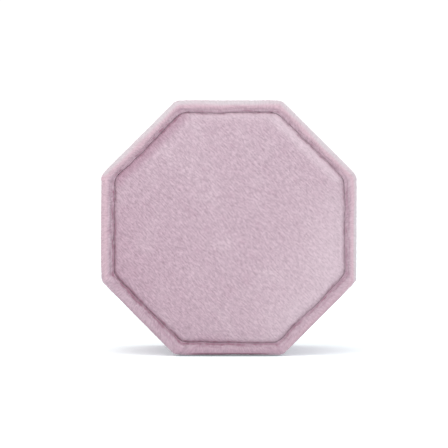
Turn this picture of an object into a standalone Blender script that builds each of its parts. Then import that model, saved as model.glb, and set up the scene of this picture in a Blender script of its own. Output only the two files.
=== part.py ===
"""Octagonal velvet ring box, standing on one of its sides with its lid face towards -Y.

The base and the lid are octagonal shells wrapped in velvet. The lid pulls straight off a
collar that stands up out of the base. Inside, three velvet-covered foam bars hold rings in
the two slots between them.

Every piece is drawn in the box's own frame: its axis is local +Z, with height 0 at the
outside of the base and TOTAL_DEPTH at the front of the lid. An octagon's apothem is the
distance from that axis to the middle of a side. Two empties turn the axis onto world -Y.
"""

from math import cos, pi, radians, sin, tan

import bmesh
import bpy
from mathutils import Vector

MM = 0.001

# Whole box
OUTER_APOTHEM = 28.0 * MM
TOTAL_DEPTH = 42.0 * MM
CORNER_RADIUS = 2.0 * MM
LEAST_RADIUS = 0.5 * MM
CORNER_STEPS = 2
HALF_CORNER = radians(22.5)

# Sheet goods and glue lines
VELVET = 0.7 * MM
SATIN = 0.3 * MM
GLUE = 0.1 * MM
WALL = 1.2 * MM
BOARD = 0.6 * MM
SOFT_EDGE = 0.9 * MM
EDGE_STEPS = 3

# Where the lid and the base part, and the collar between them
MOUTH = 20.0 * MM
MOUTH_GAP = 0.3 * MM
BASE_TURN_IN = 10.0 * MM
COLLAR_CLEARANCE = 0.25 * MM
COLLAR_TOP = 30.0 * MM
COLLAR_OUTER_HEM = 8.0 * MM
COLLAR_INNER_HEM = 14.0 * MM

# Recessed panels: the rim round each, the seam groove and the panel itself
LIP_WALL = 0.9 * MM
GROOVE = 0.6 * MM
FRONT_RIM_DROP = 0.4 * MM
BACK_RIM_DROP = 0.3 * MM
HEM = 4.0 * MM
PANEL_CORNER = 1.2 * MM
PANEL_FOAM = 1.0 * MM
PANEL_CROWN = 0.2 * MM
CROWN_INSET = 8.0 * MM
CROWN_EDGE = 1.6 * MM
CEILING_FOAM = 0.8 * MM
CEILING_CLEARANCE = 0.2 * MM

# Ring cushion
RISER_FOAM = 4.6 * MM
RISER_CLEARANCE = 0.25 * MM
CARRIER_BOARD = 0.8 * MM
CUSHION_TOP = 22.2 * MM
CUSHION_CLEARANCE = 0.15 * MM
MIDDLE_BAR_WIDTH = 10.0 * MM
SLOT = 1.4 * MM
BAR_ROUND = 1.6 * MM

# Apothems that follow, from the outside in
SHELL_OUTSIDE = OUTER_APOTHEM - VELVET - GLUE
SHELL_INSIDE = SHELL_OUTSIDE - WALL
LINING_INSIDE = SHELL_INSIDE - GLUE - VELVET
COLLAR_OUTSIDE = LINING_INSIDE - COLLAR_CLEARANCE
RING_OUTSIDE = COLLAR_OUTSIDE - VELVET - GLUE
RING_INSIDE = RING_OUTSIDE - WALL
COLLAR_INSIDE = RING_INSIDE - GLUE - VELVET
CUSHION_APOTHEM = COLLAR_INSIDE - CUSHION_CLEARANCE
LIP_INSIDE = SHELL_OUTSIDE - LIP_WALL
RIM_INSIDE = LIP_INSIDE - GLUE - VELVET
PANEL_APOTHEM = RIM_INSIDE - GROOVE
CEILING_APOTHEM = LINING_INSIDE - CEILING_CLEARANCE

# Heights that follow, from the back panel up to the floor of the base
BACK_BOARD = VELVET + GLUE
BACK_PLATE = BACK_BOARD + BOARD + GLUE + VELVET + GLUE
BASE_FLOOR = BACK_PLATE + WALL
RISER = BASE_FLOOR + GLUE
CARRIER = RISER + RISER_FOAM + GLUE
CUSHION = CARRIER + CARRIER_BOARD + GLUE
BASE_MOUTH = MOUTH - MOUTH_GAP / 2

# Heights that follow, from the front panel down to the ceiling of the lid
LID_MOUTH = MOUTH + MOUTH_GAP / 2
FRONT_RIM = TOTAL_DEPTH - FRONT_RIM_DROP
FRONT_FOAM = TOTAL_DEPTH - VELVET - GLUE - PANEL_FOAM
FRONT_BOARD = FRONT_FOAM - GLUE - BOARD
FRONT_HEM = FRONT_BOARD - GLUE - VELVET
LID_PLATE = FRONT_HEM - GLUE
LID_ROOF = LID_PLATE - WALL
CEILING_HEM = LID_ROOF - GLUE
CEILING_BOARD = CEILING_HEM - SATIN - GLUE - BOARD
CEILING_FOAM_FACE = CEILING_BOARD - GLUE - CEILING_FOAM
CEILING = CEILING_FOAM_FACE - GLUE - SATIN

# Linear colour, roughness and metallic value of each material
FINISHES = {
    "velvet": ((0.54, 0.36, 0.43), 0.92, 0.0),
    "satin": ((0.78, 0.66, 0.68), 0.35, 0.0),
    "shell_plastic": ((0.72, 0.70, 0.67), 0.55, 0.0),
    "grey_board": ((0.40, 0.36, 0.31), 0.90, 0.0),
    "foam": ((0.80, 0.77, 0.70), 0.95, 0.0),
}


def clear_scene():
    for old in list(bpy.data.objects):
        bpy.data.objects.remove(old, do_unlink=True)


def make_material(name, colour, roughness, metallic):
    material = bpy.data.materials.new(name)
    material.use_nodes = True
    shader = material.node_tree.nodes["Principled BSDF"]
    shader.inputs["Base Color"].default_value = (*colour, 1.0)
    shader.inputs["Roughness"].default_value = roughness
    shader.inputs["Metallic"].default_value = metallic
    material.diffuse_color = (*colour, 1.0)
    return material


def octagon(apothem, corner):
    """Anticlockwise outline of an octagon with flats on the axes and rounded corners."""
    reach = (apothem - corner) / cos(HALF_CORNER)
    points = []
    for side in range(8):
        heading = (side + 0.5) * pi / 4
        centre = Vector((cos(heading), sin(heading))) * reach
        for step in range(CORNER_STEPS + 1):
            turn = heading + (2 * step / CORNER_STEPS - 1) * HALF_CORNER
            points.append(centre + Vector((cos(turn), sin(turn))) * corner)
    return points


def nested_corner(apothem):
    """Corner radius that keeps one wall at an even distance inside another."""
    return max(CORNER_RADIUS - (OUTER_APOTHEM - apothem), LEAST_RADIUS)


def rounded(path, radius, corners):
    """The path of (apothem, height) points, with its numbered corners made into arcs."""
    path = [Vector(point) for point in path]
    result = []
    for number, point in enumerate(path):
        if number not in corners:
            result.append(point)
            continue
        before = (path[number - 1] - point).normalized()
        after = (path[number + 1] - point).normalized()
        half = before.angle(after) / 2
        centre = point + (before + after).normalized() * radius / sin(half)
        first = point + before * radius / tan(half) - centre
        last = point + after * radius / tan(half) - centre
        span = first.angle(last)
        for step in range(EDGE_STEPS + 1):
            turn = span * step / EDGE_STEPS
            spoke = (first * sin(span - turn) + last * sin(turn)) / sin(span)
            result.append(centre + spoke)
    return result


def beside(path, distance):
    """The path moved to the right of its own direction, with mitred corners."""
    legs = [(there - here).normalized() for here, there in zip(path, path[1:])]
    normals = [Vector((leg.y, -leg.x)) for leg in legs]
    result = []
    for point, behind, ahead in zip(path, normals[:1] + normals, normals + normals[-1:]):
        middle = (behind + ahead).normalized()
        result.append(point + middle * distance / middle.dot(ahead))
    return result


def cloth(path, thickness):
    """Closed section of a cloth: its face along the path, and its back beside it."""
    return path + beside(path, thickness)[::-1]


def sweep(name, section, material, parent, ring=True, corner=None):
    """A solid whose section of (apothem, height) points runs round the octagon.

    A ring joins its last point to its first. Otherwise both are closed across the axis.
    """
    bm = bmesh.new()
    loops = []
    for apothem, height in section:
        outline = octagon(apothem, nested_corner(apothem) if corner is None else corner)
        loops.append([bm.verts.new((*point, height)) for point in outline])
    pairs = list(zip(loops, loops[1:]))
    if ring:
        pairs.append((loops[-1], loops[0]))
    else:
        bm.faces.new(loops[0])
        bm.faces.new(loops[-1])
    for here, there in pairs:
        for side in range(len(here)):
            after = (side + 1) % len(here)
            bm.faces.new((here[side], here[after], there[after], there[side]))
    return finish(name, bm, material, parent)


def slab(name, apothem, bottom, thickness, material, parent, corner=None):
    """A flat octagonal sheet or block."""
    section = [(apothem, bottom), (apothem, bottom + thickness)]
    return sweep(name, section, material, parent, ring=False, corner=corner)


def bar(name, reach, inset, bottom, top, material, parent, wall=0.0):
    """One bar of the ring cushion, round along its top edges.

    It is the stretch of the cushion's octagon between the two local Y values in reach,
    drawn in by inset. With a wall it is a cover that is open underneath.
    """
    bm = bmesh.new()
    outline = octagon(CUSHION_APOTHEM - inset, LEAST_RADIUS)
    bm.faces.new([bm.verts.new((*point, bottom)) for point in outline])
    for edge, outward in ((reach[0] + inset, -1), (reach[1] - inset, 1)):
        bmesh.ops.bisect_plane(
            bm,
            geom=bm.verts[:] + bm.edges[:] + bm.faces[:],
            plane_co=(0, edge, 0),
            plane_no=(0, outward, 0),
            clear_outer=True,
        )
    floor = bm.faces[:][0]
    crown = extruded(bm, floor, top - bottom, keep=True)
    bmesh.ops.bevel(
        bm,
        geom=list(crown.edges),
        offset=BAR_ROUND - inset,
        segments=EDGE_STEPS,
        profile=0.5,
        affect="EDGES",
    )
    if wall:
        bmesh.ops.inset_region(bm, faces=[floor], thickness=wall, use_even_offset=True)
        extruded(bm, floor, top - bottom - wall)
    return finish(name, bm, material, parent)


def extruded(bm, face, height, keep=False):
    """Extrudes a face straight up and returns the face at the far end."""
    found = bmesh.ops.extrude_face_region(bm, geom=[face])["geom"]
    end = next(item for item in found if isinstance(item, bmesh.types.BMFace))
    bmesh.ops.translate(bm, verts=list(end.verts), vec=(0, 0, height))
    if not keep:
        bmesh.ops.delete(bm, geom=[face], context="FACES_ONLY")
    return end


def finish(name, bm, material, parent):
    bmesh.ops.recalc_face_normals(bm, faces=bm.faces)
    mesh = bpy.data.meshes.new(name)
    bm.to_mesh(mesh)
    bm.free()
    mesh.shade_smooth()
    mesh.set_sharp_from_angle(angle=radians(40))
    mesh.materials.append(material)
    piece = bpy.data.objects.new(name, mesh)
    piece.parent = parent
    bpy.context.collection.objects.link(piece)
    return piece


def body_frame(name):
    """An empty on the box's axis, at the outside of the base, that lays the axis along -Y."""
    empty = bpy.data.objects.new(name, None)
    empty.location = (0, TOTAL_DEPTH / 2, OUTER_APOTHEM)
    empty.rotation_euler = (radians(90), 0, 0)
    bpy.context.collection.objects.link(empty)
    return empty


def panel_face(apothem, face, drop):
    """The face of a panel from near its middle to its edge, which lies lower by drop."""
    return [
        (apothem - CROWN_INSET, face),
        (apothem - CROWN_EDGE, face + drop / 2),
        (apothem, face + drop),
    ]


def panel_cover(name, apothem, face, hem, drop, thickness, material, parent):
    """Cloth wrapped round a board: its face, its side and the hem glued under it."""
    path = panel_face(apothem, face, drop) + [(apothem, hem), (apothem - HEM, hem)]
    side = thickness if face > hem else -thickness
    section = cloth(rounded(path, SOFT_EDGE, corners=[2]), side)
    sweep(name, section, material, parent, ring=False, corner=PANEL_CORNER)


def panel_foam(name, apothem, face, back, drop, material, parent):
    """The padding of a panel, under its cover."""
    path = panel_face(apothem, face, drop) + [(apothem, back)]
    section = rounded(path, SOFT_EDGE / 2, corners=[2])
    sweep(name, section, material, parent, ring=False, corner=PANEL_CORNER)


def make_base(materials):
    """The body that stays put: shell, back panel, collar and ring cushion."""
    base = body_frame("base_frame")
    velvet = materials["velvet"]
    plastic = materials["shell_plastic"]
    board = materials["grey_board"]
    foam = materials["foam"]

    lip = BACK_RIM_DROP + VELVET + GLUE
    mouth = BASE_MOUTH - VELVET - GLUE
    shell = [
        (LIP_INSIDE, BACK_PLATE),
        (LIP_INSIDE, lip),
        (SHELL_OUTSIDE, lip),
        (SHELL_OUTSIDE, mouth),
        (SHELL_INSIDE, mouth),
        (SHELL_INSIDE, BASE_FLOOR),
    ]
    sweep("base_shell", shell, plastic, base, ring=False)

    wrap = [
        (RIM_INSIDE, BACK_PLATE - GLUE),
        (RIM_INSIDE, BACK_RIM_DROP),
        (OUTER_APOTHEM, BACK_RIM_DROP),
        (OUTER_APOTHEM, BASE_MOUTH),
        (LINING_INSIDE, BASE_MOUTH),
        (LINING_INSIDE, BASE_MOUTH - BASE_TURN_IN),
    ]
    wrap = rounded(wrap, SOFT_EDGE, corners=[1, 2, 3, 4])
    sweep("base_outer_velvet", cloth(wrap, -VELVET), velvet, base)

    back_inside = PANEL_APOTHEM - VELVET - GLUE
    slab("bottom_panel_board", back_inside, BACK_BOARD, BOARD, board, base, PANEL_CORNER)
    hem = BACK_PLATE - GLUE
    panel_cover("bottom_panel_velvet", PANEL_APOTHEM, 0.0, hem, 0.0, VELVET, velvet, base)

    ring = [
        (RING_OUTSIDE, RISER),
        (RING_OUTSIDE, COLLAR_TOP - VELVET - GLUE),
        (RING_INSIDE, COLLAR_TOP - VELVET - GLUE),
        (RING_INSIDE, RISER),
    ]
    sweep("collar_ring", ring, plastic, base)
    cover = [
        (COLLAR_OUTSIDE, COLLAR_OUTER_HEM),
        (COLLAR_OUTSIDE, COLLAR_TOP),
        (COLLAR_INSIDE, COLLAR_TOP),
        (COLLAR_INSIDE, COLLAR_INNER_HEM),
    ]
    cover = rounded(cover, SOFT_EDGE, corners=[1, 2])
    sweep("collar_velvet", cloth(cover, -VELVET), velvet, base)

    riser_apothem = RING_INSIDE - RISER_CLEARANCE
    slab("pad_riser_foam", riser_apothem, RISER, RISER_FOAM, foam, base)
    slab("pad_carrier_board", CUSHION_APOTHEM, CARRIER, CARRIER_BOARD, board, base)
    near = MIDDLE_BAR_WIDTH / 2
    far = near + SLOT
    reaches = {
        "lower": (-CUSHION_APOTHEM, -far),
        "middle": (-near, near),
        "upper": (far, CUSHION_APOTHEM),
    }
    for place, reach in reaches.items():
        under = VELVET + GLUE
        bar(f"pad_foam_{place}", reach, under, CUSHION, CUSHION_TOP - under, foam, base)
        bar(f"pad_velvet_{place}", reach, 0.0, CUSHION, CUSHION_TOP, velvet, base, wall=VELVET)


def make_lid(materials):
    """The body that pulls off: shell, padded front panel and satin ceiling."""
    lid = body_frame("lid_frame")
    velvet = materials["velvet"]
    board = materials["grey_board"]
    foam = materials["foam"]

    lip = FRONT_RIM - VELVET - GLUE
    mouth = LID_MOUTH + VELVET + GLUE
    shell = [
        (LIP_INSIDE, LID_PLATE),
        (LIP_INSIDE, lip),
        (SHELL_OUTSIDE, lip),
        (SHELL_OUTSIDE, mouth),
        (SHELL_INSIDE, mouth),
        (SHELL_INSIDE, LID_ROOF),
    ]
    sweep("lid_shell", shell, materials["shell_plastic"], lid, ring=False)

    wrap = [
        (RIM_INSIDE, LID_PLATE + GLUE),
        (RIM_INSIDE, FRONT_RIM),
        (OUTER_APOTHEM, FRONT_RIM),
        (OUTER_APOTHEM, LID_MOUTH),
        (LINING_INSIDE, LID_MOUTH),
        (LINING_INSIDE, LID_ROOF - GLUE),
    ]
    wrap = rounded(wrap, SOFT_EDGE, corners=[1, 2, 3, 4])
    sweep("lid_outer_velvet", cloth(wrap, VELVET), velvet, lid)

    inside = PANEL_APOTHEM - VELVET - GLUE
    drop = -PANEL_CROWN
    foam_face = FRONT_FOAM + PANEL_FOAM
    slab("top_panel_board", inside, FRONT_BOARD, BOARD, board, lid, PANEL_CORNER)
    panel_foam("top_panel_foam", inside, foam_face, FRONT_FOAM, drop, foam, lid)
    cover = (PANEL_APOTHEM, TOTAL_DEPTH, FRONT_HEM, drop)
    panel_cover("top_panel_velvet", *cover, VELVET, velvet, lid)

    inside = CEILING_APOTHEM - SATIN - GLUE
    drop = PANEL_CROWN
    foam_back = CEILING_FOAM_FACE + CEILING_FOAM
    slab("ceiling_board", inside, CEILING_BOARD, BOARD, board, lid, PANEL_CORNER)
    panel_foam("ceiling_foam", inside, CEILING_FOAM_FACE, foam_back, drop, foam, lid)
    cover = (CEILING_APOTHEM, CEILING, CEILING_HEM, drop)
    panel_cover("ceiling_satin", *cover, SATIN, materials["satin"], lid)


clear_scene()
materials = {name: make_material(name, *values) for name, values in FINISHES.items()}
make_base(materials)
make_lid(materials)
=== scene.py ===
"""Looks of an octagonal velvet ring box that stands on one of its sides.

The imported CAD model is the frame. Its velvet and satin solids are replaced by dense meshes
with rolled edges, creases and pile, and its hidden boards, foams and shells get materials.

The box has its own coordinates: x across, y up, and height along its axis, from 0 at the
outside of the base to the front of the lid. An octagon's apothem is the distance from the
axis to the middle of a side. Lengths are in metres, and textures count in millimetres.
"""

from math import cos, log, pi, radians, sin, tan

import bmesh
import bpy
import numpy as np
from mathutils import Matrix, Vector, noise
from mathutils.bvhtree import BVHTree


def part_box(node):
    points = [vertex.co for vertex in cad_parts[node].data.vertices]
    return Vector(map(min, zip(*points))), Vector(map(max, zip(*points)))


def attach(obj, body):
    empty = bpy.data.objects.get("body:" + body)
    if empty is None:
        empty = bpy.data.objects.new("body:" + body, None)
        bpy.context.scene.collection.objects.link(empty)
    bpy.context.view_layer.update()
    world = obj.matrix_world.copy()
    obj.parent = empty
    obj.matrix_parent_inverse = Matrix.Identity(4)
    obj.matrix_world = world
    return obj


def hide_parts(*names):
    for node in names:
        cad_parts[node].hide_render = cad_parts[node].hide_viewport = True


MM = 0.001
HALF_CORNER = radians(22.5)
SIDE_ANGLES = np.arange(8) * pi / 4

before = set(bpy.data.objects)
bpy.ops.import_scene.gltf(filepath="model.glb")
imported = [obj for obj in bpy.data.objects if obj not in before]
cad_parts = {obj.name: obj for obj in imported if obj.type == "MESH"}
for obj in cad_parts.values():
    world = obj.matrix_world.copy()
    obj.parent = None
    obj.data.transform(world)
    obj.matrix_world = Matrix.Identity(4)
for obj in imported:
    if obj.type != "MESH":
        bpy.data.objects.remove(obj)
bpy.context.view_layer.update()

AXIS_X = (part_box("lid_shell")[0].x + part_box("lid_shell")[1].x) / 2
AXIS_Z = (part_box("lid_shell")[0].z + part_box("lid_shell")[1].z) / 2
BACK_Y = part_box("bottom_panel_velvet")[1].y

# Cloth and the turns of its edges. A wrap's face stands SHELL_INSET outside its shell and
# keeps some room from the pieces that it lies next to.
CLEAR = 0.05 * MM
LINING_ROOM = 0.03 * MM
RECESS_ROOM = 0.04 * MM
SHELL_INSET = 0.8 * MM
LIP_WALL = 0.9 * MM
BASE_TURN_IN = 10 * MM
COLLAR_HEM = 14 * MM
OUTER_ROLL = 1.15 * MM
SLOPE_ROLL = 0.9 * MM
MOUTH_ROLL = 0.8 * MM
HEM_ROLL = 0.15 * MM

# Corner radii of the octagon. Between two apothems a wrap goes from the inner to the outer.
OUTER_CORNER = 2.3 * MM
INNER_CORNER = 2.1 * MM
SEAM_CORNER = 3.6 * MM
CORNER_BLEND = (26.2 * MM, 28.0 * MM)

# The padded panel sits a little to the right of and above the middle of its recess
PANEL_SHIFT = (0.19 * MM, 0.17 * MM)
PANEL_CROWN = 0.6 * MM
CEILING_CROWN = 0.4 * MM
BACK_SPREAD = 0.12 * MM

# The seam is a trough where the rim and the panel slope down to a narrow ledge of velvet.
# Its noise is read on an octagon of its own, so that both slopes wander together.
SEAM_READING = 25.2 * MM
SEAM_OFFSET = 0.35 * MM
SEAM_GAP = 0.02 * MM
SEAM_DEPTH = 0.8 * MM
SEAM_LEDGE = 0.55 * MM
RIM_SLOPE = 1.08 * MM
PANEL_SLOPE = 0.8 * MM

# At the bottom the rim stands this much off the floor
RIM_LIFT = 0.22 * MM

# Cushion bars: the block that is blown up, what of it is glued and what is left out at its
# foot, how far it may reach up and into a slot, how far its cloth keeps off the foam before
# and after it is made finer, and the core in the foam that the cloth turns round
BAR_VELVET = 0.5 * MM
BAR_INSET = 0.1 * MM
BAR_SINK = 0.3 * MM
BAR_BEVEL = 1.5 * MM
BAR_GLUED = 0.6 * MM
BAR_FOOT = 0.4 * MM
BAR_RISE = 0.7 * MM
BAR_SPARE = 0.35 * MM
COARSE_ROOM = 0.16 * MM
FINE_ROOM = 0.14 * MM
FOAM_CORE = 0.9 * MM

# Points round the octagon, and spacings of mesh points. UNDIVIDED is longer than any side.
FLAT_POINTS = 92
CORNER_POINTS = 8
NARROW = 0.12 * MM
FINE = 0.16 * MM
MIDDLE = 0.3 * MM
COARSE = 0.45 * MM
HIDDEN = 1.2 * MM
UNDIVIDED = 99.0
PANEL_GRID = 0.193 * MM
PLAIN_GRID = 0.32 * MM

# Cloth simulation runs on shapes this many times larger, where Blender's solver is at home
SIM_SCALE = 10.0
SIM_FRAMES = 20
SIM_PRESSURE = 4.0
SIM_VOXEL = 0.7 * MM

# Floor and camera
FLOOR_SIZE = 3.0
FLOOR_GAP = 0.05 * MM
CAMERA_LENS = 158.3
CAMERA_SHIFT = (-1.04 * MM, 0.9 * MM)
CAMERA_Y = -0.451


# ------------------------------------------------------------------ the box's coordinates


def towards_sides(x, y, sharpness):
    """How far each point reaches towards its nearest side, and how near each side comes."""
    reach = np.stack([x * cos(angle) + y * sin(angle) for angle in SIDE_ANGLES])
    most = np.maximum(reach.max(axis=0), 1e-9)
    return most, np.clip(reach / most, 0.0, 1.0) ** sharpness


def octagon_norm(x, y, sharpness=2000.0):
    """The apothem of the octagon through each point. Less sharpness rounds its corners."""
    most, share = towards_sides(x, y, sharpness)
    return most * share.sum(axis=0) ** (1.0 / sharpness)


def outward(x, y, sharpness=60.0):
    """The direction away from the nearest side of the octagon, turning smoothly at corners."""
    share = towards_sides(x, y, sharpness)[1]
    way_x = np.tensordot(np.cos(SIDE_ANGLES), share, axes=1)
    way_y = np.tensordot(np.sin(SIDE_ANGLES), share, axes=1)
    length = np.maximum(np.hypot(way_x, way_y), 1e-9)
    return way_x / length, way_y / length


def along_side(x, y):
    """The side that each point is nearest to, and how far along it the point lies."""
    side = np.round(np.arctan2(y, x) / (pi / 4)).astype(int)
    return side % 8, y * np.cos(side * pi / 4) - x * np.sin(side * pi / 4)


def corner_distance(x, y):
    """How far each point is from the octagon's nearest corner, along its side."""
    return octagon_norm(x, y) * tan(HALF_CORNER) - np.abs(along_side(x, y)[1])


def measured(node):
    """Least and most apothem, and least and most height, of a CAD node."""
    points = np.array([vertex.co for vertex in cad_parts[node].data.vertices])
    apothems = octagon_norm(points[:, 0] - AXIS_X, points[:, 2] - AXIS_Z)
    heights = BACK_Y - points[:, 1]
    return apothems.min(), apothems.max(), heights.min(), heights.max()


def to_world(points):
    """World places of (x, y, height) points."""
    return np.stack(
        [AXIS_X + points[..., 0], BACK_Y - points[..., 2], AXIS_Z + points[..., 1]], axis=-1
    )


def from_world(points):
    """The (x, y, height) of world places."""
    return np.stack(
        [points[..., 0] - AXIS_X, points[..., 2] - AXIS_Z, BACK_Y - points[..., 1]], axis=-1
    )


def smooth_step(low, high, value):
    t = np.clip((value - low) / (high - low), 0.0, 1.0)
    return t * t * (3 - 2 * t)


def hump(centre, width, value):
    """1 at the centre, falling smoothly to 0 on both sides."""
    return np.exp(-(((value - centre) / width) ** 2))


def wavy(points, size, seed):
    """Soft noise from -1 to 1 at each (x, y, z) point, with lumps of about the given size."""
    shift = Vector((seed * 17.3, seed * 5.1, seed * 9.7))
    flat = points.reshape(-1, 3) / size
    values = [noise.noise(Vector(point) + shift) for point in flat.tolist()]
    return np.array(values).reshape(points.shape[:-1])


def pile(cloth, angle, length, width, seed):
    """Noise in tufts that lie at an angle on the cloth, from its (u, v) places."""
    along = cloth[..., 0] * cos(angle) + cloth[..., 1] * sin(angle)
    across = cloth[..., 1] * cos(angle) - cloth[..., 0] * sin(angle)
    stretched = np.stack([along / length, across / width, np.zeros_like(along)], axis=-1)
    return wavy(stretched, 1.0, seed)


# ------------------------------------------------------------------------- mesh building


def rounded_path(corners, spacings, arc_spacing=FINE):
    """Points along a section whose corners are (apothem, height, radius), with even steps."""
    points = [Vector(corner[:2]) for corner in corners]
    stops = [[points[0]]]
    for before, here, after, corner in zip(points, points[1:], points[2:], corners[1:-1]):
        radius = corner[2]
        back = (before - here).normalized()
        on = (after - here).normalized()
        half = back.angle(on) / 2
        centre = here + (back + on).normalized() * radius / sin(half)
        first = here + back * radius / tan(half) - centre
        last = here + on * radius / tan(half) - centre
        span = first.angle(last)
        steps = max(2, round(radius * span / arc_spacing))
        arc = []
        for step in range(steps + 1):
            turn = span * step / steps
            arc.append(centre + (first * sin(span - turn) + last * sin(turn)) / sin(span))
        stops.append(arc)
    stops.append([points[-1]])
    path = list(stops[0])
    for there, spacing in zip(stops[1:], spacings):
        start = path[-1]
        steps = max(1, round((there[0] - start).length / spacing))
        path += [start.lerp(there[0], step / steps) for step in range(1, steps)]
        path += there
    return np.array(path)


def distances(path):
    """How far along a path each of its points is."""
    return np.concatenate([[0.0], np.cumsum(np.linalg.norm(np.diff(path, axis=0), axis=1))])


def path_length(path):
    return float(np.linalg.norm(np.diff(path, axis=0), axis=1).sum())


def outline(apothem, corner):
    """Points round an octagon with rounded corners, anticlockwise from the lower left."""
    x, y = [], []
    half_flat = (apothem - corner) * tan(HALF_CORNER)
    reach = (apothem - corner) / cos(HALF_CORNER)
    for side in range(8):
        heading = (side - 2) * pi / 4
        along = np.arange(FLAT_POINTS) / FLAT_POINTS * 2 * half_flat - half_flat
        x.append(apothem * cos(heading) - along * sin(heading))
        y.append(apothem * sin(heading) + along * cos(heading))
        turn = heading + np.arange(CORNER_POINTS) / CORNER_POINTS * pi / 4
        x.append(reach * cos(heading + HALF_CORNER) + corner * np.cos(turn))
        y.append(reach * sin(heading + HALF_CORNER) + corner * np.sin(turn))
    return np.stack([np.concatenate(x), np.concatenate(y)], axis=-1)


def swept(path, rim=None):
    """The loops of (x, y, height) points that a section makes round the octagon."""
    loops = []
    for apothem, height in path:
        corner = INNER_CORNER
        if rim:
            corner += (SEAM_CORNER - corner) * smooth_step(rim - 2.5 * MM, rim - 1.2 * MM, height)
        blend = smooth_step(*CORNER_BLEND, apothem)
        ring = outline(apothem, corner + (OUTER_CORNER - corner) * blend)
        loops.append(np.column_stack([ring, np.full(len(ring), height)]))
    return np.array(loops)


def unit(directions):
    """Directions brought to a length of 1."""
    length = np.linalg.norm(directions, axis=-1, keepdims=True)
    return directions / np.maximum(length, 1e-12)


def loop_normals(loops):
    """Directions out of the cloth, for loops whose section goes anticlockwise."""
    around = np.roll(loops, -1, axis=1) - np.roll(loops, 1, axis=1)
    along = np.roll(loops, -1, axis=0) - np.roll(loops, 1, axis=0)
    return unit(np.cross(along, around))


def grid_normals(grid):
    """Directions out of a square grid of points that faces along the box's axis."""
    return unit(np.cross(np.gradient(grid, axis=0), np.gradient(grid, axis=1)))


def loop_places(loops):
    """Place on the cloth of each point: round the box, and along the section."""
    u = distances(loops[len(loops) // 4])
    v = distances(loops[:, FLAT_POINTS // 2])
    return np.stack(np.broadcast_arrays(u[None, :], v[:, None]), axis=-1)


def loop_faces(loops, around):
    """Quads between each loop of a closed section and the next."""
    faces = []
    for loop in range(loops):
        here, there = loop * around, (loop + 1) % loops * around
        for point in range(around):
            after = (point + 1) % around
            faces.append((here + point, here + after, there + after, there + point))
    return faces


def octagonal_grid(path, corner):
    """A square grid of points, whose ring k is an octagon of 8 k points at the path's point k.

    It is as dense in the middle as at the edge. Also gives each point's place on the cloth.
    """
    rings = len(path) - 1
    steps = np.arange(-rings, rings + 1)
    i, j = np.meshgrid(steps, steps, indexing="ij")
    ring = np.maximum(abs(i), abs(j))
    sideways = abs(i) >= abs(j)
    share = np.where(sideways, j * np.sign(i), -i * np.sign(j)) / np.maximum(ring, 1)
    heading = np.where(sideways, np.where(i > 0, 0.0, pi), np.sign(j) * pi / 2)
    turn = heading + np.round(share) * pi / 4
    along = (share - np.round(share)) * 2 * tan(HALF_CORNER)
    x = np.cos(turn) - along * np.sin(turn)
    y = np.sin(turn) + along * np.cos(turn)
    widest = path[:, 0].max()
    pull = corner * (1 / cos(HALF_CORNER) - 1)
    sharpness = log(2) * widest / cos(HALF_CORNER) / pull
    rounding = octagon_norm(x, y, sharpness)
    x /= rounding
    y /= rounding
    reach = path[ring, 0]
    travelled = distances(path)
    grid = np.stack([x * reach, y * reach, path[ring, 1]], axis=-1)
    cloth = np.stack([x * travelled[ring], y * travelled[ring]], axis=-1)
    return grid, cloth, ring


def grid_faces(size):
    """Quads of a square grid, and one face that closes it behind."""
    number = np.arange(size * size).reshape(size, size)
    corners = (number[:-1, :-1], number[1:, :-1], number[1:, 1:], number[:-1, 1:])
    quads = np.stack([corner.ravel() for corner in corners], axis=-1)
    edge = [*number[:-1, 0], *number[-1, :-1], *number[:0:-1, -1], *number[0, :0:-1]]
    return [tuple(quad) for quad in quads.tolist()] + [tuple(int(n) for n in edge[::-1])]


def add_object(name, data):
    """A new object in the scene."""
    piece = bpy.data.objects.new(name, data)
    bpy.context.scene.collection.objects.link(piece)
    return piece


def add_mesh(name, points, faces, cloth, **marks):
    """A smooth-shaded mesh object from (x, y, height) points.

    cloth holds each point's place on its cloth, and each mark how much painted highlight or
    painted shade it has.
    """
    mesh = bpy.data.meshes.new(name)
    mesh.from_pydata(to_world(points).reshape(-1, 3).tolist(), [], faces)
    places = np.zeros((len(mesh.vertices), 3), np.float32)
    places[:, :2] = cloth.reshape(-1, 2) / MM
    layer = mesh.attributes.new("cloth", "FLOAT_VECTOR", "POINT")
    layer.data.foreach_set("vector", places.ravel())
    for label, share in marks.items():
        layer = mesh.attributes.new(label, "FLOAT", "POINT")
        layer.data.foreach_set("value", share.astype(np.float32).ravel())
    bm = bmesh.new()
    bm.from_mesh(mesh)
    bmesh.ops.recalc_face_normals(bm, faces=bm.faces)
    if bm.calc_volume(signed=True) < 0:
        bmesh.ops.reverse_faces(bm, faces=bm.faces)
    bm.to_mesh(mesh)
    bm.free()
    mesh.shade_smooth()
    return add_object(name, mesh)


# ----------------------------------------------------------------------- cloth simulation


def vectors(collection, field):
    """One vector for each point, out of one of a mesh's collections."""
    values = np.zeros(len(collection) * 3)
    collection.foreach_get(field, values)
    return values.reshape(-1, 3)


def mesh_arrays(mesh):
    return vectors(mesh.vertices, "co"), [tuple(face.vertices) for face in mesh.polygons]


def evaluated_mesh(piece):
    depsgraph = bpy.context.evaluated_depsgraph_get()
    return bpy.data.meshes.new_from_object(piece.evaluated_get(depsgraph))


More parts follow.
